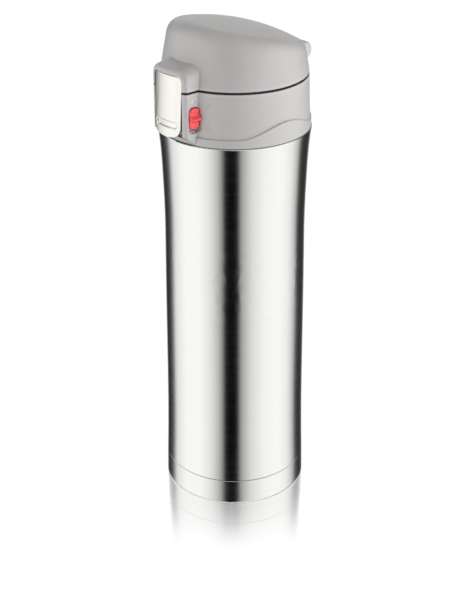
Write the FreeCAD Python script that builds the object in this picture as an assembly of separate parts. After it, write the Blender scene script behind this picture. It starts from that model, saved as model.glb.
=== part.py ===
import FreeCAD, Part
import math
import os
from FreeCAD import Vector

# Insulated travel mug with a one-touch flip cap. Millimetres, +Z up, origin on the mug's axis at
# the foot. The button block faces -Y and the cap's hinge is at +Y.

# Steel flask
SHEET = 0.6
FOOT_R = 33.4
SEAM_Z = 12.5
SHOULDER_Z = 180.3
NECK_R = 25.2
NECK_BORE_R = 22.5
RIM_Z = 197.0
LINER_R = 29.2
LINER_FLOOR_Z = 13.0
SHELL_CURVE = [(33.2, 12.8), (32.6, 36), (32.25, 74), (31.9, 118), (31.78, 139), (32.2, 156), (33.0, 172),
               (33.84, 179.9)]

# Screw thread between neck and stopper
LEAD = 6.0
THREAD_TURNS = 1.25
THREAD_START_Z = 186.0
THREAD_OFFSET = 2.0
THREAD_BASE = 2.2
THREAD_TIP = 1.0
NECK_THREAD_R = 26.75
SKIRT_THREAD_R = 25.7
SKIRT_BORE_R = 27.1
SKIRT_R = 29.0

# Lid base
LID_Z = 180.45
LID_TOP_Z = 203.6
LID_FOOT_R = 33.05
LID_TOP_R = 32.2
LID_BORE_R = 30.6
DECK_Z = 202.0
COLLAR_R = 33.55
COLLAR_SEAT_R = 31.9
COLLAR_END_ANGLE = 19.4
WAVE_LOW_Z = 184.0
WAVE_RISE = 5.6
WAVE_HALF_ANGLE = 40.0
SPOUT_HOLE_R = 19.0

# Cap
CAP_Z = 204.3
CAP_WALL = 2.2
CAP_EDGE_R = 7.0
CAP_CURVE = [(32.1, 204.65), (30.65, 213.3), (29.3, 220.6), (27.1, 231.0)]

# Button block, split between lid base and cap
BLOCK_FRONT_R = 38.2
BLOCK_HALF = 11.0
BLOCK_ROOT_Y = -27.0
BLOCK_FOOT_Z = 181.2
BLOCK_TOP_Z = 215.2
BLOCK_SLOPE = 0.2
BLOCK_CORNER_R = 5.0
BLOCK_EDGE_R = 2.1
CHIN_SLOPE = 0.55
POCKET_HALF = 8.65
POCKET_Y = -31.0
POCKET_FLOOR_Z = 182.0

# Button
PLATE_EDGE_Y = -37.5
PLATE_LEAN = 0.055
PLATE_CROWN = [(-9.0, -0.4), (-8.3, 0), (-7.5, 0.42), (-6.2, 0.85), (-3.2, 1.22), (0, 1.3)]
PLATE_SHEET = 0.8
PLATE_HALF = 8.3
PLATE_TOP_Z = 210.2
PLATE_SIDE_Z = 188.0
PLATE_FOOT_Z = 183.6
PIN_Y = -33.2
PIN_Z = 200.2
PIN_R = 1.0
RUN_GAP = 0.06
LEVER_BACK_Y = -34.4
GROOVE_Z = 188.8
GROOVE_HALF = 6.2
GROOVE_R = 1.4
SPRING_Z = 189.0

# Hinge
HINGE_Y = 33.0
HINGE_Z = 208.3
BARREL_R = 4.1
BARREL_HALF = 10.0
KNUCKLE_HALF = 4.7

# Lock slider on the +X side of the block
SLIDER_Y = (-35.2, -30.3)
SLIDER_Z = (188.2, 197.4)
SLIDER_TRAVEL = 1.8
SLOT_FACE_X = 10.15

AXIS_X = Vector(1, 0, 0)
AXIS_Z = Vector(0, 0, 1)


def box(low, high):
    """Block between two opposite corners."""
    size = [b - a for a, b in zip(low, high)]
    return Part.makeBox(size[0], size[1], size[2], Vector(*low))


def cross_rod(radius, half, y, z):
    """Round rod along X, centred on the mid plane."""
    return Part.makeCylinder(radius, 2 * half, Vector(-half, y, z), AXIS_X)


def cross_section(start, steps, place):
    """Closed face from a start point: a step is a point, an arc (middle, end) or a list for a curve."""
    edges = []
    here = start
    for step in steps + [start]:
        if isinstance(step, list):
            curve = Part.BSplineCurve()
            curve.interpolate([place(*point) for point in [here] + step])
            edges.append(curve.toShape())
            here = step[-1]
        elif isinstance(step[0], tuple):
            edges.append(Part.Arc(place(*here), place(*step[0]), place(*step[1])).toShape())
            here = step[1]
        elif math.dist(here, step) > 1e-6:
            edges.append(Part.makeLine(place(*here), place(*step)))
            here = step
    return Part.Face(Part.Wire(edges))


def turned(start, *steps):
    """Solid turned about the mug's axis from a (radius, height) outline."""
    face = cross_section(start, list(steps), lambda r, z: Vector(r, 0, z))
    return face.revolve(Vector(), AXIS_Z, 360)


def tube(inner, outer, low, high):
    """Plain ring about the mug's axis."""
    return turned((inner, low), (outer, low), (outer, high), (inner, high))


def thread_ridge(radius, tip_radius, start_z):
    """One start of trapezoid thread along a right-hand helix; its root is buried in the wall."""
    root = radius - math.copysign(0.3, tip_radius - radius)
    helix = Part.makeHelix(LEAD, LEAD * THREAD_TURNS, radius)
    half_base = THREAD_BASE / 2
    half_tip = THREAD_TIP / 2
    corners = [(root, -half_base), (tip_radius, -half_tip), (tip_radius, half_tip), (root, half_base)]
    profile = Part.makePolygon([Vector(r, 0, z) for r, z in corners + corners[:1]])
    ridge = Part.Wire(helix.Edges).makePipeShell([profile], True, True)
    ridge.translate(Vector(0, 0, start_z))
    return ridge


def outer_shell():
    """Drawn steel wall: waist, flared top, flat shoulder and threaded neck, joggled in at the foot."""
    inside = [(r - SHEET, z) for r, z in SHELL_CURVE]
    flare = SHELL_CURVE[-1][0]
    inside[-1] = (flare - SHEET, SHOULDER_Z - 1.1)
    shell = turned(
        SHELL_CURVE[0], SHELL_CURVE[1:],
        ((flare - 0.12, SHOULDER_Z - 0.12), (flare - 0.4, SHOULDER_Z)),
        (29.0, SHOULDER_Z), (26.4, SHOULDER_Z + 1.3),
        ((25.5, SHOULDER_Z + 2.0), (NECK_R, SHOULDER_Z + 3.1)),
        (NECK_R, RIM_Z - SHEET), (NECK_R - SHEET, RIM_Z - SHEET), (NECK_R - SHEET, SHOULDER_Z + 2.8),
        ((25.0, SHOULDER_Z + 1.6), (26.0, SHOULDER_Z + 0.8)),
        (28.8, SHOULDER_Z - SHEET), (flare - 1.0, SHOULDER_Z - SHEET),
        inside[-1], inside[-2::-1],
        (FOOT_R - 1.6, 12.3), (FOOT_R - 1.6, 6.0), (FOOT_R - 1.0, 6.0), (FOOT_R - 1.0, SEAM_Z + 0.15),
        (SHELL_CURVE[0][0] - 0.15, SEAM_Z + 0.15))
    return shell.fuse(thread_ridge(NECK_R, NECK_THREAD_R, THREAD_START_Z))


def inner_liner():
    """Steel inner bottle, rolled over and welded to the neck's rim."""
    outside = LINER_R
    inside = LINER_R - SHEET
    under = LINER_FLOOR_Z - SHEET
    return turned(
        (0, under), (outside - 6, under),
        ((outside - 1.757, under + 1.757), (outside, under + 6)),
        (outside, 171.0), (NECK_BORE_R + SHEET, 178.5), (NECK_BORE_R + SHEET, RIM_Z - SHEET),
        (NECK_R, RIM_Z - SHEET),
        ((NECK_R - 0.2, RIM_Z - 0.2), (NECK_R - 0.6, RIM_Z)),
        (NECK_BORE_R + 0.5, RIM_Z),
        ((NECK_BORE_R + 0.15, RIM_Z - 0.15), (NECK_BORE_R, RIM_Z - 0.5)),
        (NECK_BORE_R, 178.3), (inside, 170.8), (inside, LINER_FLOOR_Z + 5.4),
        ((inside - 1.582, LINER_FLOOR_Z + 1.582), (inside - 5.4, LINER_FLOOR_Z)),
        (0, LINER_FLOOR_Z))


def vacuum_bottom():
    """Pressed plate that closes the vacuum space, with the evacuation port in its middle."""
    rim = FOOT_R - 1.65
    return turned(
        (1.2, 8.4), (22.0, 8.4), (26.0, 7.4), (rim - SHEET, 7.4), (rim - SHEET, 6.0), (rim, 6.0),
        (rim, 9.6), (rim - SHEET, 9.6), (rim - SHEET, 8.0), (26.3, 8.0), (22.2, 9.0), (1.2, 9.0))


def seal_bead():
    """Bead melted into the port under vacuum."""
    return turned((0, 7.5), ((1.9, 7.7), (2.4, 8.4)), (1.2, 8.4), (1.2, 9.0), (0, 9.0))


def getter_capsule():
    """Small capsule that binds the last gas, spot-welded beside the port."""
    capsule = turned((0, 9.0), (4.0, 9.0), (4.0, 10.4), ((3.8, 10.8), (3.4, 11.0)), (0, 11.0))
    capsule.translate(Vector(12.0, 4.0, 0))
    return capsule


def base_cap():
    """Flush steel cup over the foot; a raised centre leaves a rest ring."""
    return turned(
        (0, 1.2), (26.5, 1.2), (27.6, 0), (FOOT_R - 0.9, 0),
        ((FOOT_R - 0.2, 0.25), (FOOT_R + 0.05, 1.0)),
        (FOOT_R - 0.2, SEAM_Z - 0.25), (FOOT_R - 0.35, SEAM_Z - 0.1), (FOOT_R - 0.95, SEAM_Z - 0.1),
        (FOOT_R - 0.9, 2.0),
        ((FOOT_R - 1.1, 1.1), (FOOT_R - 1.6, 0.8)),
        (28.0, 0.8), (27.0, 1.9), (0, 1.9))


def above_wave():
    """Everything above the collar's wavy edge: it rises in one smooth hump over each side of the mug."""
    reach = 40
    hump = COLLAR_R * math.sin(math.radians(WAVE_HALF_ANGLE))
    wave = []
    for step in range(-9, 11):
        angle = WAVE_HALF_ANGLE * step / 10
        rise = WAVE_RISE * (1 + math.cos(math.pi * step / 10)) / 2
        wave.append((COLLAR_R * math.sin(math.radians(angle)), WAVE_LOW_Z + rise))
    face = cross_section(
        (-reach, WAVE_LOW_Z), [(-hump, WAVE_LOW_Z), wave, (reach, WAVE_LOW_Z), (reach, 200), (-reach, 200)],
        lambda y, z: Vector(-reach, y, z))
    return face.extrude(Vector(2 * reach, 0, 0))


def rounded_top(half, low, top, radius, y):
    """Upright face with rounded top corners."""
    bend = radius * (1 - math.sqrt(0.5))
    return cross_section(
        (-half, low),
        [(half, low), (half, top - radius),
         ((half - bend, top - bend), (half - radius, top)), (radius - half, top),
         ((bend - half, top - bend), (-half, top - radius))],
        lambda x, z: Vector(x, y, z))


def button_block():
    """Whole block: rounded shoulders, a front curved about the mug's axis and a chin swept back."""
    front = rounded_top(BLOCK_HALF, BLOCK_FOOT_Z - 5, BLOCK_TOP_Z, BLOCK_CORNER_R, BLOCK_ROOT_Y + 1)
    block = front.extrude(Vector(0, -14, -14 * BLOCK_SLOPE))
    block = block.common(Part.makeCylinder(BLOCK_FRONT_R, 60, Vector(0, 0, BLOCK_FOOT_Z - 5)))
    arris = [e for e in block.Edges if e.BoundBox.ZLength > 0.1 and all(
        abs(math.hypot(e.valueAt(t).x, e.valueAt(t).y) - BLOCK_FRONT_R) < 1e-3
        for t in (e.FirstParameter, (e.FirstParameter + e.LastParameter) / 2, e.LastParameter))]
    block = block.makeFillet(BLOCK_EDGE_R, arris)
    rise = 20 * CHIN_SLOPE
    chin = cross_section(
        (BLOCK_ROOT_Y, BLOCK_FOOT_Z - 8), [(-50, BLOCK_FOOT_Z - 8), (-50, BLOCK_FOOT_Z + rise - 0.3),
                                           (-30, BLOCK_FOOT_Z - 0.3), (BLOCK_ROOT_Y, BLOCK_FOOT_Z - 0.3)],
        lambda y, z: Vector(-20, y, z))
    return block.cut(chin.extrude(Vector(40, 0, 0)))


def lid_knuckle():
    """Middle knuckle of the cap's hinge with the neck that joins it to the lid's deck."""
    half = KNUCKLE_HALF
    neck = cross_section(
        (29.3, 202.2), [(31.6, 202.2), (32.15, 203.6), ((33.0, 204.5), (35.3, 204.9)),
                        (HINGE_Y, HINGE_Z), (HINGE_Y - BARREL_R, HINGE_Z)],
        lambda y, z: Vector(-half, y, z)).extrude(Vector(2 * half, 0, 0))
    knuckle = cross_rod(BARREL_R, half, HINGE_Y, HINGE_Z).fuse(neck)
    return knuckle.cut(cross_rod(2.9, 2.9, HINGE_Y, HINGE_Z))


def slider_slot():
    """Outer recess, window and inner relief that the lock slider runs in."""
    low_y, high_y = SLIDER_Y
    low_z, high_z = SLIDER_Z
    recess = box((SLOT_FACE_X - 0.15, low_y - 0.25, low_z - SLIDER_TRAVEL - 0.3),
                 (14, high_y + 0.25, high_z + 0.3))
    ends = [e for e in recess.Edges if e.BoundBox.XLength > 2]
    recess = recess.makeFillet(2.0, ends)
    window = box((8, -34.4, 187.0), (11, -31.4, 197.3))
    relief = box((8, -34.9, 186.3), (9.25, -30.9, 198.4))
    return recess.fuse(window).fuse(relief)


def lid_housing():
    """Grey lid base: wall, deck, lower half of the button block and middle hinge knuckle."""
    wall = turned(
        (LID_BORE_R, LID_Z), (LID_FOOT_R, LID_Z), (LID_TOP_R, LID_TOP_Z - 0.35),
        ((LID_TOP_R - 0.1, LID_TOP_Z - 0.1), (LID_TOP_R - 0.35, LID_TOP_Z)),
        (SPOUT_HOLE_R + 0.3, LID_TOP_Z), (SPOUT_HOLE_R, LID_TOP_Z - 0.3), (SPOUT_HOLE_R, DECK_Z),
        (LID_BORE_R, DECK_Z))
    block = button_block().common(box((-15, -40, BLOCK_FOOT_Z), (15, -26, LID_TOP_Z)))
    pad = box((-10.2, POCKET_Y - 0.6, POCKET_FLOOR_Z - 1), (10.2, -29.4, DECK_Z))
    block = block.cut(tube(0.5, LID_BORE_R, LID_Z, DECK_Z)).fuse(pad)
    block = block.cut(Part.makeCylinder(SKIRT_R + 0.3, DECK_Z - LID_Z, Vector(0, 0, LID_Z)))
    housing = wall.fuse(block).fuse(lid_knuckle())
    housing = housing.cut(box((-POCKET_HALF, -40, POCKET_FLOOR_Z), (POCKET_HALF, POCKET_Y, 204)))
    housing = housing.cut(slider_slot()).cut(wave_collar())
    housing = housing.cut(cross_rod(PIN_R, 12, PIN_Y, PIN_Z))
    return housing.cut(cross_rod(PIN_R, 12, HINGE_Y, HINGE_Z)).removeSplitter()


def wave_collar():
    """Proud lower band with the wavy upper edge, open at the front for the button block."""
    face = cross_section(
        (COLLAR_SEAT_R, LID_Z),
        [(COLLAR_R - 0.2, LID_Z), ((COLLAR_R - 0.06, LID_Z + 0.06), (COLLAR_R, LID_Z + 0.2)),
         (COLLAR_R - 0.2, 192.0), (COLLAR_SEAT_R, 192.0)],
        lambda r, z: Vector(r, 0, z))
    band = face.revolve(Vector(), AXIS_Z, 360 - 2 * COLLAR_END_ANGLE)
    band.rotate(Vector(), AXIS_Z, COLLAR_END_ANGLE - 90)
    return band.cut(above_wave())


def stopper():
    """Inner moulding: threaded skirt, web and the plug ring that enters the neck."""
    body = turned(
        (SKIRT_BORE_R, 182.3), (SKIRT_R, 182.3), (SKIRT_R, 198.0), (LID_BORE_R - 0.1, 198.6),
        (LID_BORE_R - 0.1, DECK_Z), (22.4, DECK_Z), (22.4, 200.0), (17.0, 200.0), (17.0, 198.0),
        (20.2, 198.0), (20.2, 187.3), (20.5, 187.0), (21.6, 187.0), (22.1, 187.6), (22.1, 189.0),
        (20.9, 189.0), (20.9, 191.6), (22.1, 191.6), (22.1, 197.6), (SKIRT_BORE_R, 197.6))
    flat = box((-10.6, -31, 181), (10.6, -29.2, DECK_Z + 1))
    body = body.cut(flat)
    return body.fuse(thread_ridge(SKIRT_BORE_R, SKIRT_THREAD_R, THREAD_START_Z - THREAD_OFFSET))


def stopper_gasket():
    """Silicone ring in the plug's groove, bulged towards the neck's bore."""
    return turned((21.0, 189.1), (21.9, 189.1), ((22.42, 190.3), (21.9, 191.5)), (21.0, 191.5))


def spout():
    """Drinking spout: flange under the deck, tapered lip, dished floor with drinking hole and vent."""
    body = turned(
        (16.6, 200.6), (21.8, 200.6), (21.8, DECK_Z), (18.6, DECK_Z), (18.6, 204.0),
        [(17.2, 206.6), (16.0, 210.2), (15.5, 212.9)],
        ((14.7, 213.8), (13.9, 212.9)),
        [(14.1, 211.0), (14.5, 208.6)],
        ((14.0, 207.2), (12.6, 206.6)),
        (0, 206.0), (0, 204.5), (13.0, 205.1), (15.4, 203.8), (16.6, 202.4))
    hole = box((-3.8, -10.2, 200), (3.8, -4.6, 208))
    for side in (-1, 1):
        hole = hole.fuse(Part.makeCylinder(2.8, 8, Vector(3.8 * side, -7.4, 200)))
    vent = Part.makeCylinder(1.3, 8, Vector(0, 9.0, 200))
    return body.cut(hole).cut(vent).removeSplitter()


def spout_gasket():
    """Flat silicone ring between the spout's flange and the stopper."""
    return tube(17.2, 21.6, 200.0, 200.6)


def coil(radius, wire, pitch, length, start, axis):
    """Round-wire spring along an axis."""
    helix = Part.makeHelix(pitch, length, radius)
    profile = Part.Wire(Part.makeCircle(wire / 2, Vector(radius, 0, 0), Vector(0, 1, 0)))
    spring = Part.Wire(helix.Edges).makePipeShell([profile], True, True)
    spring.Placement = FreeCAD.Placement(start, FreeCAD.Rotation(AXIS_Z, axis))
    return spring


def button_spring():
    """Short compression spring between the pocket's floor and the lever's seat."""
    wire = 0.55
    reach = POCKET_Y - (LEVER_BACK_Y - 1.0)
    return coil(2.3, wire, 1.3, reach - wire - 0.4, Vector(0, POCKET_Y - wire / 2 - 0.1, SPRING_Z),
                Vector(0, -1, 0))


def button_pin():
    """Steel cross pin of the button; its ends show on the block's sides."""
    return cross_rod(PIN_R, BLOCK_HALF + 0.1, PIN_Y, PIN_Z)


def hinge_pin():
    """Steel pin through the three knuckles."""
    return cross_rod(PIN_R, BARREL_HALF - 1.0, HINGE_Y, HINGE_Z)


def hinge_spring():
    """Torsion spring round the hinge pin, hidden in the middle knuckle."""
    return coil(1.9, 0.6, 0.85, 4.6, Vector(-2.3, HINGE_Y, HINGE_Z), AXIS_X)


def plate_face(half, top, side_z, foot_z, radius, y):
    """Front view of plate and lever: rounded top corners and a bowed lower edge."""
    bend = radius * (1 - math.sqrt(0.5))
    knee = (half - 1.4, side_z - 2.2)
    return cross_section(
        (half, side_z),
        [(half, top - radius), ((half - bend, top - bend), (half - radius, top)), (radius - half, top),
         ((bend - half, top - bend), (-half, top - radius)), (-half, side_z),
         [(-knee[0], knee[1]), (-half / 2, foot_z + 0.45), (0, foot_z), (half / 2, foot_z + 0.45),
          knee, (half, side_z)]],
        lambda x, z: Vector(x, y, z))


def plate_layer(front, back):
    """Prism behind the plate's outer face, between two depths; it leans with the button."""
    low, high = 178.0, 214.0
    curve = PLATE_CROWN + [(-x, rise) for x, rise in PLATE_CROWN[-2::-1]]
    foot_y = PLATE_EDGE_Y - PLATE_LEAN * (PIN_Z - 3.2 - low)
    near = [(x, foot_y - rise + front) for x, rise in curve]
    far = [(x, foot_y - rise + back) for x, rise in curve[::-1]]
    face = cross_section(near[0], [near[1:], far[0], far[1:]], lambda x, y: Vector(x, y, low))
    return face.extrude(Vector(0, PLATE_LEAN * (high - low), high - low))


def groove(spare, front, back):
    """Thumb groove as a rounded slot in the plate, between two depths."""
    straight = GROOVE_HALF - GROOVE_R
    radius = GROOVE_R + spare
    bar = box((-straight, -45, GROOVE_Z - radius), (straight, -30, GROOVE_Z + radius))
    for side in (-1, 1):
        start = Vector(side * straight, -30, GROOVE_Z)
        bar = bar.fuse(Part.makeCylinder(radius, 15, start, Vector(0, -1, 0)))
    return bar.common(plate_layer(front, back))


def button_plate():
    """Brushed steel cover of the button, crowned from side to side, with a pressed thumb groove."""
    face = plate_face(PLATE_HALF, PLATE_TOP_Z, PLATE_SIDE_Z, PLATE_FOOT_Z, 2.0, -30)
    plate = face.extrude(Vector(0, -12, 0)).common(plate_layer(0, PLATE_SHEET))
    plate = plate.fuse(groove(0.6, 0.4, PLATE_SHEET + 0.7))
    return plate.cut(groove(0, -1, 0.9)).removeSplitter()


def button_lever():
    """Moulded lever under the plate: pivot boss, spring seat and the latch hook at its top."""
    face = plate_face(PLATE_HALF - 0.5, PLATE_TOP_Z - 0.7, PLATE_SIDE_Z + 0.8, PLATE_FOOT_Z + 1.2, 1.6,
                      LEVER_BACK_Y)
    lever = face.extrude(Vector(0, -6, 0)).common(plate_layer(PLATE_SHEET, 8))
    lever = lever.fuse(cross_rod(1.9, PLATE_HALF - 0.5, PIN_Y, PIN_Z))
    lever = lever.fuse(box((-3.0, LEVER_BACK_Y - 0.4, 206.9), (3.0, -33.7, 208.6)))
    lever = lever.cut(cross_rod(PIN_R + RUN_GAP, 9, PIN_Y, PIN_Z))
    seat = Part.makeCylinder(2.9, 2.0, Vector(0, LEVER_BACK_Y + 1.0, SPRING_Z), Vector(0, -1, 0))
    lever = lever.cut(seat)
    return lever.cut(groove(0.6, 0, PLATE_SHEET + 0.7))


def lock_slider():
    """Red lock slider: ribbed thumb piece outside, neck through the window and flange inside."""
    low_y, high_y = SLIDER_Y
    low_z, high_z = SLIDER_Z
    middle = (low_z + high_z) / 2
    ribs = [(11.9, high_z - 1.1), (11.75, high_z - 2.4), (12.6, middle + 1.1), (13.7, middle),
            (12.6, middle - 1.1), (11.75, low_z + 2.4), (11.9, low_z + 1.1), (11.1, low_z)]
    face = cross_section((SLOT_FACE_X, high_z), [(11.1, high_z), ribs, (SLOT_FACE_X, low_z)],
                         lambda x, z: Vector(x, high_y, z))
    thumb = face.extrude(Vector(0, low_y - high_y, 0))
    corners = [e for e in thumb.Edges if e.BoundBox.XLength > 0.5 and e.BoundBox.ZLength < 0.01]
    thumb = thumb.makeFillet(1.6, corners)
    neck = box((8.6, -34.2, 189.2), (SLOT_FACE_X + 0.2, -31.6, 197.0))
    flange = box((8.6, -34.7, 188.4), (9.15, -31.1, 198.1))
    tab = box((6.9, -32.6, 190.2), (8.8, -31.4, 192.0))
    return thumb.fuse(neck).fuse(flange).fuse(tab).removeSplitter()


def crown_height(x, y):
    """Height of the cap's crowned top before its edge is rounded."""
    return 226.55 - 0.1843 * y - 0.0058 * y ** 2 - 0.0000931 * y ** 3 - 0.0049 * x ** 2


def cap_form(inset):
    """Cap's outer form, or the same form moved in by the wall for its inside."""
    wall = [(r - inset, z) for r, z in CAP_CURVE]
    stock = turned((0, CAP_Z), (wall[0][0] - 0.35, CAP_Z),
                   ((wall[0][0] - 0.1, CAP_Z + 0.1), wall[0]), wall[1:], (0, wall[-1][1]))
    span = range(-40, 41, 10)
    grid = [[Vector(x, y, crown_height(x, y) - inset) for y in span] for x in span]
    crown = Part.BSplineSurface()
    crown.interpolate(grid)
    form = stock.cut(crown.toShape().extrude(Vector(0, 0, 40)))
    rim = [e for e in form.Edges if e.BoundBox.ZMin > 209 and e.BoundBox.XLength > 5]
    return form.makeFillet(CAP_EDGE_R - inset, rim)


def cap_knuckles():
    """Two outer knuckles of the hinge, ends closed over the pin."""
    solids = []
    for side in (-1, 1):
        length = BARREL_HALF - KNUCKLE_HALF - 0.4
        start = Vector(side * (KNUCKLE_HALF + 0.4), HINGE_Y, HINGE_Z)
        knuckle = Part.makeCylinder(BARREL_R, length, start, Vector(side, 0, 0))
        outer = [e for e in knuckle.Edges if abs(abs(e.BoundBox.Center.x) - BARREL_HALF) < 0.01]
        solids.append(knuckle.makeFillet(1.2, outer))
    return solids[0].fuse(solids[1])


def cap_shell():
    """Grey cap: slanted crowned top, upper half of the button block, hinge knuckles."""
    upper = button_block().common(box((-15, -40, CAP_Z), (15, -26, 220)))
    shell = cap_form(0).fuse(upper).cut(cap_form(CAP_WALL))
    recess = rounded_top(POCKET_HALF, CAP_Z - 3, PLATE_TOP_Z + 0.35, 2.3, LEVER_BACK_Y + 0.5)
    shell = shell.cut(recess.extrude(Vector(0, -6, 0)))
    shell = shell.cut(box((-3.6, -34.5, CAP_Z - 1), (3.6, -31.2, 209.4)))
    shell = shell.cut(latch_catch())
    shell = shell.fuse(cap_knuckles())
    room = KNUCKLE_HALF + 0.35
    shell = shell.cut(cross_rod(BARREL_R + 0.35, room, HINGE_Y, HINGE_Z))
    shell = shell.cut(box((-room, 28.4, CAP_Z - 1), (room, 40, HINGE_Z)))
    return shell.cut(cross_rod(PIN_R + RUN_GAP, BARREL_HALF - 0.8, HINGE_Y, HINGE_Z)).removeSplitter()


def latch_catch():
    """Steel bar across the window in the block, under the lever's hook."""
    return cross_rod(0.75, 6.0, -32.4, 206.1)


def cap_liner():
    """Inner moulding of the cap: plate, skirt, boss for the seal and a collar up to the crown."""
    liner = turned(
        (10.2, 209.3), (10.2, 215.6), (24.2, 215.6), (24.2, 207.0), (25.4, 207.0), (25.4, 217.0),
        (18.0, 217.0), (18.0, 226.0), (16.6, 226.0), (16.6, 217.0), (0, 217.0), (0, 215.6),
        (9.0, 215.6), (9.0, 209.3))
    return liner.common(cap_form(CAP_WALL + 0.06)).removeSplitter()


def spout_seal():
    """Silicone cup that fills the spout and lies over its lip."""
    return turned(
        (0, 207.4), (9.6, 207.4), ((11.0, 207.8), (11.6, 209.2)), (12.0, 214.1), (16.6, 214.1),
        (16.6, 215.5), (10.3, 215.5), (10.3, 209.2), (0, 209.2))


PIECES = [
    outer_shell, inner_liner, vacuum_bottom, seal_bead, getter_capsule, base_cap,
    lid_housing, wave_collar, stopper, stopper_gasket, spout, spout_gasket,
    button_pin, button_spring, hinge_pin, hinge_spring,
    button_plate, button_lever, lock_slider,
    cap_shell, cap_liner, spout_seal, latch_catch,
]

os.makedirs("parts", exist_ok=True)
for piece in PIECES:
    shape = piece()
    solids = shape.Solids
    shape = solids[0] if len(solids) == 1 else Part.makeCompound(solids)
    print(piece.__name__, len(solids), shape.isValid(), round(shape.Volume, 2))
    shape.exportStep("parts/" + piece.__name__ + ".step")
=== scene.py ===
import math

import bmesh
import bpy
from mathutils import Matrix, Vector


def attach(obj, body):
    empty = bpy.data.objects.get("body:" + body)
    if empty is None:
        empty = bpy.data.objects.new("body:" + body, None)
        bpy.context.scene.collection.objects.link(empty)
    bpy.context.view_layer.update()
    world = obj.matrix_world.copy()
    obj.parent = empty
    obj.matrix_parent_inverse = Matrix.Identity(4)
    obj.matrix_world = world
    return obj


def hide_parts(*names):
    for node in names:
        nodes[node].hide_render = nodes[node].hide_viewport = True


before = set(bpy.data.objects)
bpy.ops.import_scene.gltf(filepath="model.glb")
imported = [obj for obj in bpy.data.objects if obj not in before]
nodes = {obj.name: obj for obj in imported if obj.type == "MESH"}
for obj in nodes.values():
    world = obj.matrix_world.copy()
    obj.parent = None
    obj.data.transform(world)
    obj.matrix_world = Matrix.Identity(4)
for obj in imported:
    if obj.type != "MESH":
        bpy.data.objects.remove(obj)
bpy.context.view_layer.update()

# ---- Steel wall and foot cup ------------------------------------------------------------------
# The wall is one drawn stainless tube with a threaded neck, and a flush cup closes its foot. Both
# are spun against an abrasive belt, which leaves fine lines round the body, and the lines draw
# every highlight out into an upright band.


def new_finish(name):
    """Material with its surface shader, ready for nodes."""
    finish = bpy.data.materials.new(name)
    finish.use_nodes = True
    tree = finish.node_tree
    tree.nodes.clear()
    surface = tree.nodes.new("ShaderNodeOutputMaterial")
    shader = tree.nodes.new("ShaderNodeBsdfPrincipled")
    tree.links.new(shader.outputs["BSDF"], surface.inputs["Surface"])
    return finish, tree, shader


def grain(tree, per_metre, detail=3.0, rough=0.55):
    """Noise in the piece's own coordinates, with its own count of cells per metre on each axis."""
    place = tree.nodes.new("ShaderNodeTexCoord")
    squeeze = tree.nodes.new("ShaderNodeMapping")
    squeeze.inputs["Scale"].default_value = per_metre
    noise = tree.nodes.new("ShaderNodeTexNoise")
    noise.inputs["Scale"].default_value = 1.0
    noise.inputs["Detail"].default_value = detail
    noise.inputs["Roughness"].default_value = rough
    tree.links.new(place.outputs["Object"], squeeze.inputs["Vector"])
    tree.links.new(squeeze.outputs["Vector"], noise.inputs["Vector"])
    return noise.outputs["Fac"]


def spread(tree, value, low, high, start=0.3, end=0.7):
    """The value stretched from start..end to low..high, held at both ends."""
    node = tree.nodes.new("ShaderNodeMapRange")
    node.inputs["From Min"].default_value = start
    node.inputs["From Max"].default_value = end
    node.inputs["To Min"].default_value = low
    node.inputs["To Max"].default_value = high
    tree.links.new(value, node.inputs["Value"])
    return node.outputs["Result"]


def blend(tree, amount, first, second):
    """Colour between two tones; each is a tone or another node's colour."""
    node = tree.nodes.new("ShaderNodeMix")
    node.data_type = "RGBA"
    tree.links.new(amount, node.inputs[0])
    for socket, tone in ((node.inputs[6], first), (node.inputs[7], second)):
        if isinstance(tone, tuple):
            socket.default_value = (*tone, 1)
        else:
            tree.links.new(tone, socket)
    return node.outputs[2]


def sums(tree, kind, first, second):
    """One arithmetic step on node values or plain numbers."""
    node = tree.nodes.new("ShaderNodeMath")
    node.operation = kind
    for socket, value in zip(node.inputs, (first, second)):
        if isinstance(value, (int, float)):
            socket.default_value = value
        elif value is not None:
            tree.links.new(value, socket)
    return node.outputs[0]


def relief(tree, shader, value, strength, depth):
    """Bump from a grain value, depth in metres."""
    bump = tree.nodes.new("ShaderNodeBump")
    bump.inputs["Strength"].default_value = strength
    bump.inputs["Distance"].default_value = depth
    tree.links.new(value, bump.inputs["Height"])
    tree.links.new(bump.outputs["Normal"], shader.inputs["Normal"])


def near_height(tree, height, reach):
    """1 at a height above the table, falling to 0 within reach, both in metres."""
    place = tree.nodes.new("ShaderNodeTexCoord")
    parts = tree.nodes.new("ShaderNodeSeparateXYZ")
    tree.links.new(place.outputs["Object"], parts.inputs["Vector"])
    away = sums(tree, "ABSOLUTE", sums(tree, "SUBTRACT", parts.outputs["Z"], height), None)
    return spread(tree, away, 1.0, 0.0, 0.0, reach)


ROUND_LINES = (18, 18, 6500)


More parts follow.
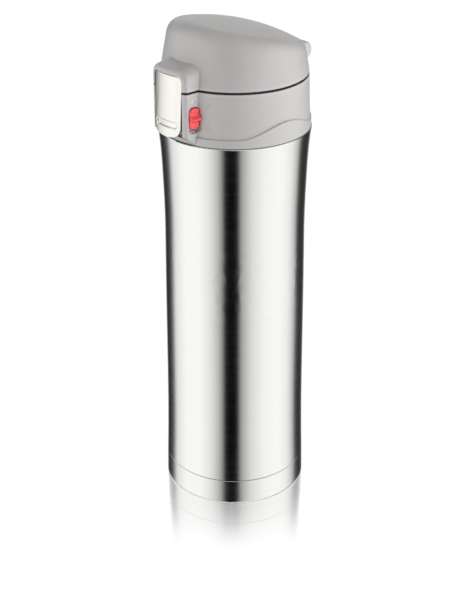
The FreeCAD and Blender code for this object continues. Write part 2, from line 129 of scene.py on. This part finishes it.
def brushed_steel(name, dark, light, rough, lines=ROUND_LINES, sweep=0.75, turn=0.25, scuffed=None):
    """Stainless steel with brushing lines; scuffed is a height and a reach rubbed dull there."""
    finish, tree, shader = new_finish(name)
    fine = grain(tree, lines, 2.0)
    broad = grain(tree, tuple(count / 4 for count in lines), 3.0)
    handled = grain(tree, (28, 28, 28), 2.0)
    tone = blend(tree, spread(tree, broad, 0, 1), dark, light)
    brushed = spread(tree, fine, rough - 0.035, rough + 0.035)
    gloss = sums(tree, "ADD", brushed, spread(tree, handled, 0, 0.03))
    if scuffed:
        scratches = spread(tree, grain(tree, (900, 900, 2600)), 0, 1)
        worn = sums(tree, "MULTIPLY", near_height(tree, *scuffed), scratches)
        tone = blend(tree, worn, tone, tuple(0.8 * part for part in dark))
        gloss = sums(tree, "ADD", gloss, spread(tree, worn, 0, 0.2, 0, 1))
    tree.links.new(tone, shader.inputs["Base Color"])
    tree.links.new(gloss, shader.inputs["Roughness"])
    relief(tree, shader, fine, 0.12, 0.00003)
    shader.inputs["Metallic"].default_value = 1.0
    if sweep:
        shader.inputs["Anisotropic"].default_value = sweep
        shader.inputs["Anisotropic Rotation"].default_value = turn
        around = tree.nodes.new("ShaderNodeTangent")
        around.direction_type = "RADIAL"
        around.axis = "Z"
        tree.links.new(around.outputs["Tangent"], shader.inputs["Tangent"])
    return finish


def dress(finish, *pieces):
    """Gives carried-over pieces their finish."""
    for piece in pieces:
        mesh = nodes[piece].data
        mesh.materials.clear()
        mesh.materials.append(finish)


BODY_DARK, BODY_LIGHT = (0.685, 0.68, 0.665), (0.715, 0.71, 0.695)
FOOT_SCUFF = (0.0, 0.0012)
dress(brushed_steel("body_steel", BODY_DARK, BODY_LIGHT, 0.185), "outer_shell")
dress(brushed_steel("foot_steel", BODY_DARK, BODY_LIGHT, 0.2, scuffed=FOOT_SCUFF), "base_cap")

# ---- Inner bottle and vacuum parts ------------------------------------------------------------
# The liner is turned smooth inside for cleaning and welded to the wall at the rim. The pressed
# bottom, the getter and the sealing bead are left with a dull mill finish, because nobody sees them.
TURNED_LINES, ROLLED_GRAIN = (30, 30, 2600), (400, 400, 400)
dress(brushed_steel("liner_steel", (0.52, 0.52, 0.51), (0.62, 0.62, 0.61), 0.27, TURNED_LINES),
      "inner_liner")
dress(brushed_steel("mill_steel", (0.36, 0.36, 0.35), (0.48, 0.48, 0.47), 0.42, ROLLED_GRAIN, 0.0),
      "vacuum_bottom", "getter_capsule", "seal_bead")

# ---- Grey mouldings: lid base, wave collar and cap --------------------------------------------
# All three are moulded in the same warm grey polypropylene in spark-eroded tools, so the skin has
# a fine satin grain. Fingers rub the edges beside the joint shiny, and those bands are also
# lightened as a painted highlight. Painted shade darkens the joint itself.
JOINT_INNER, JOINT_OUTER, JOINT_REACH = 0.0305, 0.0312, 0.0005


def painted_joint_shade(tree, height):
    """1 in the narrow joint at a height near the outer wall, where painted shade darkens the joint."""
    place = tree.nodes.new("ShaderNodeTexCoord")
    flat = tree.nodes.new("ShaderNodeVectorMath")
    flat.operation = "MULTIPLY"
    flat.inputs[1].default_value = (1, 1, 0)
    reach = tree.nodes.new("ShaderNodeVectorMath")
    reach.operation = "LENGTH"
    tree.links.new(place.outputs["Object"], flat.inputs[0])
    tree.links.new(flat.outputs[0], reach.inputs[0])
    outside = spread(tree, reach.outputs["Value"], 0, 1, JOINT_INNER, JOINT_OUTER)
    close = spread(tree, near_height(tree, height, JOINT_REACH), 0, 1, 0.45, 0.9)
    return sums(tree, "MULTIPLY", outside, close)


def moulded(name, dark, light, rough, cells=5000, depth=0.00002, rubbed_and_highlit=None, joint=None):
    """Moulded plastic: cloudy tone and an eroded skin; rubbed shiny with a painted highlight at one
    height, painted shade in a joint.
    """
    finish, tree, shader = new_finish(name)
    cloud = grain(tree, (90, 90, 90), 3.0)
    skin = grain(tree, (cells, cells, cells), 2.0)
    tone = blend(tree, spread(tree, cloud, 0, 1), dark, light)
    gloss = spread(tree, skin, rough - 0.05, rough + 0.06)
    if rubbed_and_highlit:
        patches = spread(tree, grain(tree, (420, 420, 900)), 0.1, 0.9)
        worn = sums(tree, "MULTIPLY", near_height(tree, *rubbed_and_highlit), patches)
        # Painted highlight: the rubbed band is lightened to 1.18 times the light tone, on top of its
        # real lower roughness.
        tone = blend(tree, worn, tone, tuple(min(1.0, 1.18 * part) for part in light))
        gloss = sums(tree, "SUBTRACT", gloss, spread(tree, worn, 0, 0.12, 0, 1))
        # Painted shade: the joint at the rim is darkened to 0.16 of the dark tone.
        tone = blend(tree, painted_joint_shade(tree, joint), tone, tuple(0.16 * part for part in dark))
    tree.links.new(tone, shader.inputs["Base Color"])
    tree.links.new(gloss, shader.inputs["Roughness"])
    relief(tree, shader, skin, 0.25, depth)
    shader.inputs["Specular IOR Level"].default_value = 0.8
    return finish


GREY_DARK, GREY_LIGHT = (0.432, 0.421, 0.415), (0.452, 0.441, 0.435)
LID_RIM, CAP_RIM = 0.2036, 0.2043
# Heights and reaches of the rubbed bands, which also carry a painted highlight.
LID_RUB_HIGHLIGHT, CAP_RUB_HIGHLIGHT = (0.2027, 0.0006), (0.2052, 0.0006)
dress(moulded("lid_grey", GREY_DARK, GREY_LIGHT, 0.38, rubbed_and_highlit=LID_RUB_HIGHLIGHT, joint=LID_RIM), "lid_housing")
dress(moulded("collar_grey", GREY_DARK, GREY_LIGHT, 0.36), "wave_collar")
dress(moulded("cap_grey", GREY_DARK, GREY_LIGHT, 0.38, rubbed_and_highlit=CAP_RUB_HIGHLIGHT, joint=CAP_RIM), "cap_shell")

# ---- Inner mouldings and seals ----------------------------------------------------------------
# Stopper, spout and cap liner are dark polypropylene with a duller tool finish. The seals are
# translucent white silicone, cut from the tool with a faint dusty bloom.
dress(moulded("inner_dark", (0.036, 0.036, 0.038), (0.052, 0.052, 0.054), 0.48, 3600),
      "stopper", "cap_liner")
dress(moulded("spout_dark", (0.045, 0.045, 0.047), (0.062, 0.062, 0.065), 0.36, 4200), "spout")


def silicone(name, dark, light):
    """Soft translucent rubber with a dusty bloom."""
    finish, tree, shader = new_finish(name)
    bloom = grain(tree, (700, 700, 700), 4.0)
    tree.links.new(blend(tree, spread(tree, bloom, 0, 1), dark, light), shader.inputs["Base Color"])
    tree.links.new(spread(tree, bloom, 0.45, 0.65), shader.inputs["Roughness"])
    relief(tree, shader, bloom, 0.2, 0.00001)
    shader.inputs["Subsurface Weight"].default_value = 0.25
    shader.inputs["Subsurface Scale"].default_value = 0.001
    return finish


dress(silicone("seal_white", (0.60, 0.59, 0.56), (0.70, 0.69, 0.66)),
      "stopper_gasket", "spout_gasket", "spout_seal")

# ---- Pins, springs and latch bar --------------------------------------------------------------
# Pins and the latch bar are cut from bright turned rod, with fine tool rings. The springs are drawn
# wire, a little darker from heat treatment.
dress(brushed_steel("turned_rod", (0.60, 0.60, 0.59), (0.74, 0.74, 0.73), 0.2, (4000, 300, 300), 0.0),
      "button_pin", "hinge_pin", "latch_catch")
dress(brushed_steel("spring_wire", (0.34, 0.33, 0.31), (0.50, 0.48, 0.45), 0.28, (900, 900, 900), 0.0),
      "button_spring", "hinge_spring")

# ---- Push button: moulded lever and steel cover plate -----------------------------------------
# The plate is pressed from stainless sheet: crowned from side to side, bowed at its foot, with a
# thumb groove and rounded edges. It is snapped over the dark grey lever and brushed up and down.
dress(moulded("lever_grey", (0.10, 0.10, 0.098), (0.13, 0.13, 0.127), 0.5, 4000), "button_lever")

MM = 0.001
PLATE_HALF = 8.3 * MM
PLATE_TOP, PLATE_SIDE, PLATE_FOOT = 210.2 * MM, 188.2 * MM, 183.9 * MM
PLATE_EDGE_Y, PLATE_EDGE_Z = -37.4 * MM, 197.0 * MM
PLATE_LEAN = 0.055
PLATE_CORNER = 2.0 * MM
PLATE_BULGE = 1.4 * MM
PLATE_SHEET = 0.75 * MM
PLATE_EDGE_R = 0.22 * MM
FOOT_BOW = 1.5 * MM
GROOVE_Z, GROOVE_HALF, GROOVE_R = 189.3 * MM, 6.4 * MM, 1.55 * MM
GROOVE_DEPTH, GROOVE_WALL, GROOVE_LIP = 0.95 * MM, 1.0 * MM, 0.25 * MM


def ease(value):
    """0 to 1 with a soft start and end."""
    value = min(max(value, 0.0), 1.0)
    return value * value * (3 - 2 * value)


def plate_point(across, up):
    """Point on the plate's face; across runs -1..1 between its sides, up 0..1 from foot to top."""
    x = PLATE_HALF * math.sin(across * math.pi / 2)
    side = abs(x) / PLATE_HALF
    in_corner = max(abs(x) - (PLATE_HALF - PLATE_CORNER), 0.0)
    top = PLATE_TOP - PLATE_CORNER + math.sqrt(max(PLATE_CORNER ** 2 - in_corner ** 2, 0.0))
    foot = PLATE_FOOT + FOOT_BOW * side ** 2 + (PLATE_SIDE - PLATE_FOOT - FOOT_BOW) * side ** 9
    z = foot + (top - foot) * up
    y = PLATE_EDGE_Y + PLATE_LEAN * (z - PLATE_EDGE_Z) - PLATE_BULGE * (1 - side ** 2)
    run = max(abs(x) - (GROOVE_HALF - GROOVE_R), 0.0)
    from_line = math.hypot(run, z - GROOVE_Z)
    y += GROOVE_DEPTH * ease((GROOVE_R + GROOVE_LIP - from_line) / GROOVE_WALL)
    return Vector((x, y, z))


def new_piece(name, mesh_build, finish, body):
    """Finished mesh object that rides on a body of the mug."""
    mesh = bpy.data.meshes.new(name)
    bmesh.ops.recalc_face_normals(mesh_build, faces=mesh_build.faces)
    mesh_build.to_mesh(mesh)
    mesh_build.free()
    mesh.materials.append(finish)
    for face in mesh.polygons:
        face.use_smooth = True
    piece = bpy.data.objects.new(name, mesh)
    bpy.context.scene.collection.objects.link(piece)
    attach(piece, body)
    return piece


def skin_rows(build, rows, closed=False):
    """Quads between successive rows of points."""
    made = [[build.verts.new(point) for point in row] for row in rows]
    for near, far in zip(made, made[1:]):
        count = len(near)
        for i in range(count if closed else count - 1):
            j = (i + 1) % count
            build.faces.new((near[i], near[j], far[j], far[i]))
    return made


ACROSS, UP = 72, 150
build = bmesh.new()
skin_rows(build, [[plate_point(2 * i / ACROSS - 1, k / UP) for i in range(ACROSS + 1)]
                  for k in range(UP + 1)])
UPRIGHT_LINES = (4200, 40, 40)
plate_steel = brushed_steel("plate_steel", (0.72, 0.715, 0.66), (0.76, 0.755, 0.71), 0.26,
                            UPRIGHT_LINES, 0.65, 0.0)
plate = new_piece("plate_cover", build, plate_steel, "button")
sheet = plate.modifiers.new("sheet", "SOLIDIFY")
sheet.thickness = PLATE_SHEET
sheet.offset = -1 if plate.data.polygons[0].normal.y < 0 else 1
rounding = plate.modifiers.new("rounding", "BEVEL")
rounding.width = PLATE_EDGE_R
rounding.segments = 3
rounding.limit_method = "ANGLE"
rounding.angle_limit = math.radians(50)
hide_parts("button_plate")

# ---- Lock slider ------------------------------------------------------------------------------
# Red moulded thumb piece in the slot on the block's side: a rounded pad with one tall rib across
# its middle and low ends, so that it can be pushed up or down. Its neck clips through the slot.
SLIDER_Y = (-35.2 * MM, -30.3 * MM)
SLIDER_Z = (188.2 * MM, 197.4 * MM)
SLIDER_ROOT_X, SLIDER_PAD_X = 9.4 * MM, 11.65 * MM
SLIDER_CORNER, SLIDER_EDGE_R = 1.7 * MM, 0.55 * MM
RIB_TALL, RIB_WIDTH = 2.0 * MM, 0.235
END_TALL, END_PLACE, END_WIDTH = 0.35 * MM, 0.74, 0.2


def slider_height(z):
    """How far the thumb piece stands out at a height."""
    middle = sum(SLIDER_Z) / 2
    off = abs(z - middle) / (0.5 * (SLIDER_Z[1] - SLIDER_Z[0]))
    rib = RIB_TALL * math.exp(-(off / RIB_WIDTH) ** 2)
    end = END_TALL * math.exp(-((off - END_PLACE) / END_WIDTH) ** 2)
    return SLIDER_PAD_X + rib + end


def pad_outline(shrink, count=60):
    """Rounded rectangle in the block's side plane, moved inwards by shrink, as a loop of points."""
    half_y = (SLIDER_Y[1] - SLIDER_Y[0]) / 2 - shrink
    half_z = (SLIDER_Z[1] - SLIDER_Z[0]) / 2 - shrink
    corner = max(SLIDER_CORNER - shrink, 0.2 * MM)
    middle_y, middle_z = sum(SLIDER_Y) / 2, sum(SLIDER_Z) / 2
    points = []
    for k in range(count):
        z = middle_z + half_z * math.cos(math.pi * k / (count - 1))
        in_corner = max(abs(z - middle_z) - (half_z - corner), 0.0)
        points.append((half_y - corner + math.sqrt(max(corner ** 2 - in_corner ** 2, 0.0)), z))
    right = [(middle_y + reach, z) for reach, z in points]
    left = [(middle_y - reach, z) for reach, z in points[::-1]]
    return right + left


build = bmesh.new()
rows = [[Vector((SLIDER_ROOT_X, y, z)) for y, z in pad_outline(0.0)]]
EDGE_STEPS, TOP_STEPS = 6, 8
for step in range(EDGE_STEPS + 1):
    angle = math.radians(90) * step / EDGE_STEPS
    shrink, drop = SLIDER_EDGE_R * (1 - math.cos(angle)), SLIDER_EDGE_R * (1 - math.sin(angle))
    rows.append([Vector((slider_height(z) - drop, y, z)) for y, z in pad_outline(shrink)])
inner = pad_outline(SLIDER_EDGE_R)
middle_y = sum(SLIDER_Y) / 2
for step in range(1, TOP_STEPS):
    ring = [(middle_y + (y - middle_y) * (1 - step / TOP_STEPS), z) for y, z in inner]
    rows.append([Vector((slider_height(z), y, z)) for y, z in ring])
made = skin_rows(build, rows, closed=True)
build.faces.new(made[0])
last = made[-1]
for i in range(len(last) // 2 - 1):
    build.faces.new((last[i], last[i + 1], last[-i - 2], last[-i - 1]))
slider_red = moulded("slider_red", (0.82, 0.05, 0.06), (0.88, 0.07, 0.08), 0.24, 2600, 0.00001)
slider = new_piece("slider_thumb", build, slider_red, "lock")
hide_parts("lock_slider")

# ---- Lock marks -------------------------------------------------------------------------------
# Two small raised marks moulded on the lid's wall beside the slider show its positions: an open
# ring for free and a solid dot for locked. They are lid plastic, polished flat.
MARK_ANGLE = math.radians(28.5)
LID_FOOT, LID_TOP = (33.05 * MM, 180.45 * MM), (32.2 * MM, 203.25 * MM)
RAISE = 0.1 * MM
mark_grey = moulded("mark_grey", (0.40, 0.39, 0.385), (0.43, 0.42, 0.415), 0.3, 5200)


def wall_point(along, z, proud):
    """Point on the lid's tapered wall, along metres round it from the mark's middle."""
    rise = (z - LID_FOOT[1]) / (LID_TOP[1] - LID_FOOT[1])
    radius = LID_FOOT[0] + (LID_TOP[0] - LID_FOOT[0]) * rise + proud
    angle = MARK_ANGLE + along / radius
    return Vector((radius * math.sin(angle), -radius * math.cos(angle), z))


def raised_mark(name, height, profile, count=48):
    """Round mark from steps of radius in mm and share of the raise, wrapped on the wall."""
    build = bmesh.new()
    turns = [2 * math.pi * i / count for i in range(count)]
    rows = []
    for wide, share in profile:
        radius, proud = wide * MM, share * RAISE
        rows.append([wall_point(radius * math.cos(t), height + radius * math.sin(t), proud)
                     for t in turns])
    made = skin_rows(build, rows, closed=True)
    if profile[-1][0] < profile[0][0]:
        build.faces.new(made[-1])
    return new_piece(name, build, mark_grey, "lid")


raised_mark("mark_free", 188.3 * MM,
            [(0.75, -0.5), (0.78, 0.7), (0.88, 1), (1.05, 1), (1.15, 0.7), (1.18, -0.5)])
raised_mark("mark_locked", 198.0 * MM, [(1.0, -0.5), (0.97, 0.7), (0.87, 1), (0.4, 1.1), (0.1, 1.1)])

# ---- Table ------------------------------------------------------------------------------------
# White lit acrylic. It mirrors the foot of the mug and fades to plain white a few centimetres out.
TABLE_HALF = 3.0
CLEAN_WHITE = 1.02
MIRROR_START, MIRROR_END, MIRROR_SHARE, MIRROR_ROUGH = 0.027, 0.078, 0.68, 0.05

table_mesh = bpy.data.meshes.new("table")
table = bpy.data.objects.new("table", table_mesh)
bpy.context.scene.collection.objects.link(table)
build = bmesh.new()
ENDS = (-TABLE_HALF, TABLE_HALF)
skin_rows(build, [[Vector((x, y, 0)) for x in ENDS] for y in ENDS])
build.to_mesh(table_mesh)
build.free()
acrylic = bpy.data.materials.new("acrylic")
acrylic.use_nodes = True
tree = acrylic.node_tree
tree.nodes.clear()
surface = tree.nodes.new("ShaderNodeOutputMaterial")
glow = tree.nodes.new("ShaderNodeEmission")
glow.inputs["Strength"].default_value = CLEAN_WHITE
mirror = tree.nodes.new("ShaderNodeBsdfGlossy")
mirror.inputs["Roughness"].default_value = MIRROR_ROUGH
mirror.inputs["Color"].default_value = (1, 1, 1, 1)
share = tree.nodes.new("ShaderNodeMixShader")
place = tree.nodes.new("ShaderNodeTexCoord")
reach = tree.nodes.new("ShaderNodeVectorMath")
reach.operation = "LENGTH"
tree.links.new(place.outputs["Object"], reach.inputs[0])
fade = tree.nodes.new("ShaderNodeMapRange")
fade.interpolation_type = "SMOOTHERSTEP"
fade.inputs["From Min"].default_value = MIRROR_START
fade.inputs["From Max"].default_value = MIRROR_END
fade.inputs["To Min"].default_value = MIRROR_SHARE
fade.inputs["To Max"].default_value = 0.0
tree.links.new(reach.outputs["Value"], fade.inputs["Value"])
tree.links.new(fade.outputs["Result"], share.inputs["Fac"])
tree.links.new(glow.outputs["Emission"], share.inputs[1])
tree.links.new(mirror.outputs["BSDF"], share.inputs[2])
tree.links.new(share.outputs["Shader"], surface.inputs["Surface"])
table_mesh.materials.append(acrylic)
table.visible_glossy = False
table.visible_diffuse = False

# ---- Light tent -------------------------------------------------------------------------------
# A white tent round the mug with upright soft boxes left and right, dark cards at its back corners
# and a narrow opening at the front. Angles are degrees round the mug from that opening. Shiny faces
# show the MIRRORED brightness, matt ones are lit by CAST, and the empty backdrop is plain white.
FRONT_AZIMUTH = 48.0
MIRRORED = ((-180, 0.9), (-168, 0.8), (-159, 0.03), (-142, 0.03), (-128, 0.12), (-116, 1.05),
            (-90, 1.36), (-60, 1.36), (-42, 1.12), (-28, 0.72), (-20.5, 0.35), (-16.5, 0.0),
            (5, 0.0), (10.5, 0.5), (28, 1.02), (50, 1.3), (75, 1.38), (98, 1.25), (114, 0.75),
            (125, 0.05), (148, 0.03), (158, 0.1), (170, 0.8))
CAST = ((-180, 0.6), (-120, 0.8), (-85, 1.8), (-50, 2.0), (-22, 0.6), (0, 0.1), (20, 0.7),
        (42, 2.5), (70, 3.0), (95, 2.2), (130, 0.8))
ZENITH_MIRRORED, ZENITH_CAST = 0.7, 0.4
MIRRORED_RISE, CAST_RISE = (0.5, 0.95), (0.2, 0.9)
BACK_WALL, BACK_WALL_RISE = (-0.85, -0.6), (0.12, 0.3)

world = bpy.data.worlds.new("light_tent")
bpy.context.scene.world = world
world.use_nodes = True
tree = world.node_tree
tree.nodes.clear()
surface = tree.nodes.new("ShaderNodeOutputWorld")
place = tree.nodes.new("ShaderNodeTexCoord")
turned = tree.nodes.new("ShaderNodeMapping")
turned.inputs["Rotation"].default_value = (0, 0, math.radians(-FRONT_AZIMUTH))
tree.links.new(place.outputs["Generated"], turned.inputs["Vector"])
split = tree.nodes.new("ShaderNodeSeparateXYZ")
tree.links.new(turned.outputs["Vector"], split.inputs["Vector"])
towards = sums(tree, "MULTIPLY", split.outputs["Y"], -1.0)
side = sums(tree, "DIVIDE", sums(tree, "ARCTAN2", split.outputs["X"], towards), 2 * math.pi)
side = sums(tree, "ADD", side, 0.5)


def tent_wall(stops, zenith, start, end):
    """Brightness round the tent, going over to the ceiling's between two heights."""
    bands = tree.nodes.new("ShaderNodeValToRGB")
    stops = list(stops) + [(180, stops[0][1])]
    for angle, level in stops[1:-1]:
        bands.color_ramp.elements.new(0.5 + angle / 360)
    for element, (angle, level) in zip(bands.color_ramp.elements, stops):
        element.position = 0.5 + angle / 360
        element.color = (level, level, level, 1)
    tree.links.new(side, bands.inputs["Fac"])
    lift = tree.nodes.new("ShaderNodeMapRange")
    lift.interpolation_type = "SMOOTHSTEP"
    lift.inputs["From Min"].default_value = start
    lift.inputs["From Max"].default_value = end
    tree.links.new(split.outputs["Z"], lift.inputs["Value"])
    return blend(tree, lift.outputs["Result"], bands.outputs["Color"], (zenith,) * 3)


def tent_light(colour, first=None, chosen=None):
    """Light of one colour, or a switch between the lights made so far and this one."""
    lamp = tree.nodes.new("ShaderNodeBackground")
    if isinstance(colour, tuple):
        lamp.inputs["Color"].default_value = (*colour, 1)
    else:
        tree.links.new(colour, lamp.inputs["Color"])
    if first is None:
        return lamp.outputs["Background"]
    switch = tree.nodes.new("ShaderNodeMixShader")
    tree.links.new(chosen, switch.inputs["Fac"])
    tree.links.new(first, switch.inputs[1])
    tree.links.new(lamp.outputs["Background"], switch.inputs[2])
    return switch.outputs["Shader"]


seen = tree.nodes.new("ShaderNodeLightPath")
mirrored = tent_wall(MIRRORED, ZENITH_MIRRORED, *MIRRORED_RISE)
behind = spread(tree, towards, 1.0, 0.0, *BACK_WALL)
above = spread(tree, split.outputs["Z"], 0.0, 1.0, *BACK_WALL_RISE)
mirrored = blend(tree, sums(tree, "MULTIPLY", behind, above), mirrored, (CLEAN_WHITE,) * 3)
cast = tent_wall(CAST, ZENITH_CAST, *CAST_RISE)
light = tent_light(mirrored)
light = tent_light(cast, light, seen.outputs["Is Diffuse Ray"])
light = tent_light((CLEAN_WHITE,) * 3, light, seen.outputs["Is Camera Ray"])
tree.links.new(light, surface.inputs["Surface"])

# ---- Camera -----------------------------------------------------------------------------------
# Long lens above and to the right of the button, level across, looking down on the mug.
CAMERA_FAR, CAMERA_HIGH, CAMERA_DIP = 0.5413, 0.3731, 27.2
CAMERA_LENS, CAMERA_SHIFT = 78.99, -0.0047
camera_data = bpy.data.cameras.new("camera")
camera_data.lens = CAMERA_LENS
camera_data.shift_x = CAMERA_SHIFT
camera_data.clip_start = 0.01
camera = bpy.data.objects.new("camera", camera_data)
bpy.context.scene.collection.objects.link(camera)
turn = math.radians(FRONT_AZIMUTH)
camera.location = (CAMERA_FAR * math.sin(turn), -CAMERA_FAR * math.cos(turn), CAMERA_HIGH)
camera.rotation_euler = (math.radians(90 - CAMERA_DIP), 0, turn)
bpy.context.scene.camera = camera
bpy.context.scene.view_settings.view_transform = "Standard"
